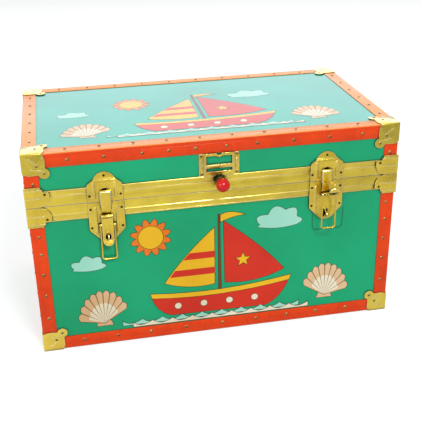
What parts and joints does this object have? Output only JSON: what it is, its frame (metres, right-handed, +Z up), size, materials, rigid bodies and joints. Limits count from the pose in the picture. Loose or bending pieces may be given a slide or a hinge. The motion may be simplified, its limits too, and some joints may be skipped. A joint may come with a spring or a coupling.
{
  "type": "small tin trunk",
  "caption": "Small trunk of board skinned in painted tin, with metal bindings and corner caps, a back-hinged lid, draw latches with wire bails, a card holder and a front knob.",
  "frame": {"origin": "under the middle of everything that sticks out, on the floor the bottom corner caps stand on", "axes": "+Z up, -Y out of the front with the latches, +X to the right seen from the front"},
  "size_m": [0.6036, 0.4047, 0.3509],
  "materials": {
    "board": "matt",
    "painted_tin": "gloss",
    "binding": "gloss",
    "brass": "polished",
    "knob": "gloss",
    "collar": "satin",
    "steel": "satin",
    "tack": "dark"
  },
  "bodies": {
    "body": {"bottom_board": "board", "body_front_board": "board", "body_back_board": "board", "body_left_board": "board", "body_right_board": "board", "bottom_tin": "painted_tin", "body_tin": "painted_tin", "bottom_binding_front": "binding", "bottom_binding_back": "binding", "bottom_binding_left": "binding", "bottom_binding_right": "binding", "body_corner_bindings": "binding", "cap_bottom_front_left": "brass", "cap_bottom_front_right": "brass", "cap_bottom_back_left": "brass", "cap_bottom_back_right": "brass", "body_strip_front": "brass", "body_strips_side": "brass", "body_clamps": "brass", "latch_base_left": "brass", "latch_base_right": "brass", "lever_pins": "steel", "hinge_leaves_lower": "steel", "hinge_pins": "steel", "body_nails": "brass", "body_tacks": "tack"},
    "lid": {"lid_top_board": "board", "lid_front_board": "board", "lid_back_board": "board", "lid_left_board": "board", "lid_right_board": "board", "lid_top_tin": "painted_tin", "lid_tin": "painted_tin", "lid_binding_front": "binding", "lid_binding_back": "binding", "lid_binding_left": "binding", "lid_binding_right": "binding", "lid_corner_bindings": "binding", "cap_top_front_left": "brass", "cap_top_front_right": "brass", "cap_top_back_left": "brass", "cap_top_back_right": "brass", "lid_strip_front": "brass", "lid_strips_side": "brass", "lid_clamps": "brass", "keeper_left": "brass", "keeper_right": "brass", "card_holder": "brass", "knob_ball": "knob", "knob_collar": "collar", "knob_bolt": "steel", "hinge_leaves_upper": "steel", "lid_nails": "brass", "lid_tacks": "tack"},
    "lever_left": {"lever_left": "brass"},
    "lever_right": {"lever_right": "brass"},
    "bail_pin_left": {"bail_pin_left": "brass"},
    "bail_pin_right": {"bail_pin_right": "brass"},
    "bail_left": {"bail_left": "brass"},
    "bail_right": {"bail_right": "brass"}
  },
  "joints": [
    {"name": "lid_hinge", "type": "hinge", "parent": "body", "child": "lid", "pos_m": [0, 0.19646, 0.262], "axis": [-1, 0, 0], "range_deg": [0, 100]},
    {"name": "lever_left_pivot", "type": "hinge", "parent": "body", "child": "lever_left", "pos_m": [-0.1789, -0.15924, 0.2385], "axis": [-1, 0, 0], "range_deg": [0, 150]},
    {"name": "bail_pin_left_turn", "type": "hinge", "parent": "lever_left", "child": "bail_pin_left", "pos_m": [-0.1789, -0.15864, 0.2237], "axis": [-1, 0, 0], "range_deg": [-150, 0]},
    {"name": "bail_left_swing", "type": "hinge", "parent": "bail_pin_left", "child": "bail_left", "pos_m": [-0.1789, -0.15864, 0.2237], "axis": [-1, 0, 0], "range_deg": [0, 178]},
    {"name": "lever_right_pivot", "type": "hinge", "parent": "body", "child": "lever_right", "pos_m": [0.1789, -0.15924, 0.2385], "axis": [-1, 0, 0], "range_deg": [-116, 34]},
    {"name": "bail_pin_right_turn", "type": "hinge", "parent": "lever_right", "child": "bail_pin_right", "pos_m": [0.1789, -0.1728, 0.24445], "axis": [-1, 0, 0], "range_deg": [-34, 116]},
    {"name": "bail_right_swing", "type": "hinge", "parent": "bail_pin_right", "child": "bail_right", "pos_m": [0.1789, -0.1728, 0.24445], "axis": [-1, 0, 0], "range_deg": [0, 178]}
  ],
  "couplings": [
    {"joint": "bail_pin_left_turn", "follows": "lever_left_pivot", "ratio": -1},
    {"joint": "bail_pin_right_turn", "follows": "lever_right_pivot", "ratio": -1}
  ]
}
